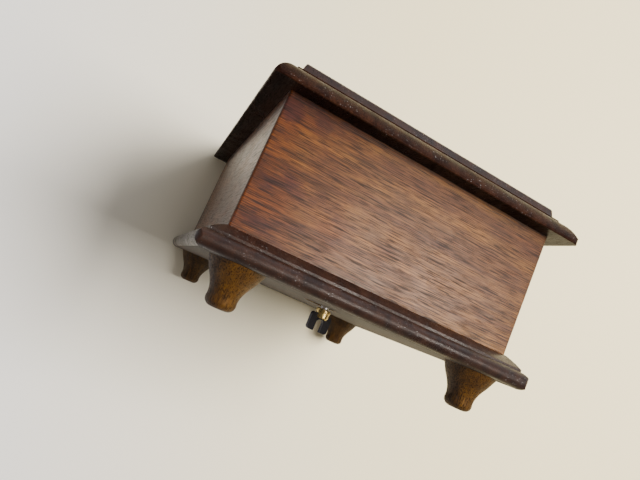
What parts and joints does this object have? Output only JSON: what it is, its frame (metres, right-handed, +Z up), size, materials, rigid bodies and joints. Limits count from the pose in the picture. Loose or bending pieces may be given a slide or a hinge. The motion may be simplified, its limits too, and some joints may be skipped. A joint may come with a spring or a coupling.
{
  "type": "wind-up music box",
  "caption": "Small stained wooden music box on turned feet, with a moulded hinged lid, a lined compartment and a key-wound pinned-cylinder movement with comb and air brake.",
  "frame": {"origin": "centre of the bounding box, at the level that the feet stand on", "axes": "+X along the case's length towards the movement, +Y towards the hinges, +Z up"},
  "size_m": [0.141, 0.1142, 0.0751],
  "materials": {
    "panel_wood": "stained and varnished, semi-gloss",
    "trim_wood": "dark stained and varnished, gloss",
    "foot_wood": "bare turned wood, matt",
    "inner_wood": "bare sawn wood, matt",
    "felt": "short nap",
    "clear_plastic": "clear, polished",
    "brass": "turned, a little tarnished",
    "steel": "brushed",
    "cast_metal": "cast and tumbled, satin",
    "key_steel": "blued"
  },
  "bodies": {
    "case": {"base_board": "trim_wood", "front_panel": "panel_wood", "rear_panel": "panel_wood", "left_end_panel": "panel_wood", "right_end_panel": "panel_wood", "divider": "inner_wood", "front_cleat": "inner_wood", "rear_cleat": "inner_wood", "movement_cover": "clear_plastic", "floor_felt": "felt", "foot_front_left": "foot_wood", "foot_front_right": "foot_wood", "foot_rear_left": "foot_wood", "foot_rear_right": "foot_wood", "hinge_left_body_leaf": "brass", "hinge_right_body_leaf": "brass", "hinge_left_pin": "steel", "hinge_right_pin": "steel", "body_leaf_screws": "brass", "bedplate": "cast_metal", "bearing_bracket": "cast_metal", "governor_frame": "cast_metal", "comb": "steel", "movement_screws": "steel", "frame_screws": "steel", "comb_screws": "steel"},
    "lid": {"lid_board": "trim_wood", "lid_top_panel": "trim_wood", "lid_lining": "felt", "hinge_left_lid_leaf": "brass", "hinge_right_lid_leaf": "brass", "lid_leaf_screws": "brass"},
    "key_and_arbor": {"key_hub": "brass", "key_wing": "key_steel", "winding_arbor": "steel", "ratchet_wheel": "steel"},
    "spring_drum": {"drum_cup": "brass", "drum_cover": "brass", "mainspring": "steel"},
    "cylinder": {"pinned_cylinder": "brass", "cylinder_discs": "brass", "cylinder_shaft": "steel", "cylinder_pinion": "brass", "cylinder_gear": "brass"},
    "governor": {"governor_pinion": "steel", "governor_wheel": "brass"},
    "air_brake": {"governor_worm": "steel", "governor_fan": "steel"},
    "click": {"click": "steel"},
    "stop_wire": {"stop_wire": "steel"}
  },
  "joints": [
    {"name": "lid_hinge", "type": "hinge", "parent": "case", "child": "lid", "pos_m": [0, 0.0515, 0.06405], "axis": [-1, 0, 0], "range_deg": [0, 100]},
    {"name": "key_winding", "type": "hinge", "parent": "case", "child": "key_and_arbor", "pos_m": [0.02935, -0.002, 0.0221], "axis": [0, 0, 1], "continuous": true},
    {"name": "cylinder_spin", "type": "hinge", "parent": "case", "child": "cylinder", "pos_m": [0.02935, 0.0129, 0.0421], "axis": [0, 1, 0], "continuous": true},
    {"name": "drum_spin", "type": "hinge", "parent": "case", "child": "spring_drum", "pos_m": [0.02935, -0.002, 0.0356], "axis": [0, 0, 1], "continuous": true},
    {"name": "governor_spin", "type": "hinge", "parent": "case", "child": "governor", "pos_m": [0.0231, 0.0375, 0.03127], "axis": [0, 1, 0], "continuous": true},
    {"name": "air_brake_spin", "type": "hinge", "parent": "case", "child": "air_brake", "pos_m": [0.0231, 0.0381, 0.03757], "axis": [1, 0, 0], "continuous": true},
    {"name": "click_pivot", "type": "hinge", "parent": "case", "child": "click", "pos_m": [0.03755, -0.0082, 0.0248], "axis": [0, 0, 1], "range_deg": [0, 12], "stiffness_Nm_per_rad": 0.0002, "springref_deg": -5.73},
    {"name": "stop_wire_pivot", "type": "hinge", "parent": "case", "child": "stop_wire", "pos_m": [0.02485, 0.0388, 0.0465], "axis": [0, 1, 0], "range_deg": [0, 12.5]}
  ],
  "couplings": [
    {"joint": "drum_spin", "follows": "cylinder_spin", "ratio": 0.5},
    {"joint": "governor_spin", "follows": "cylinder_spin", "ratio": -4},
    {"joint": "air_brake_spin", "follows": "cylinder_spin", "ratio": 40},
    {"joint": "stop_wire_pivot", "follows": "lid_hinge", "ratio": 0.12}
  ]
}
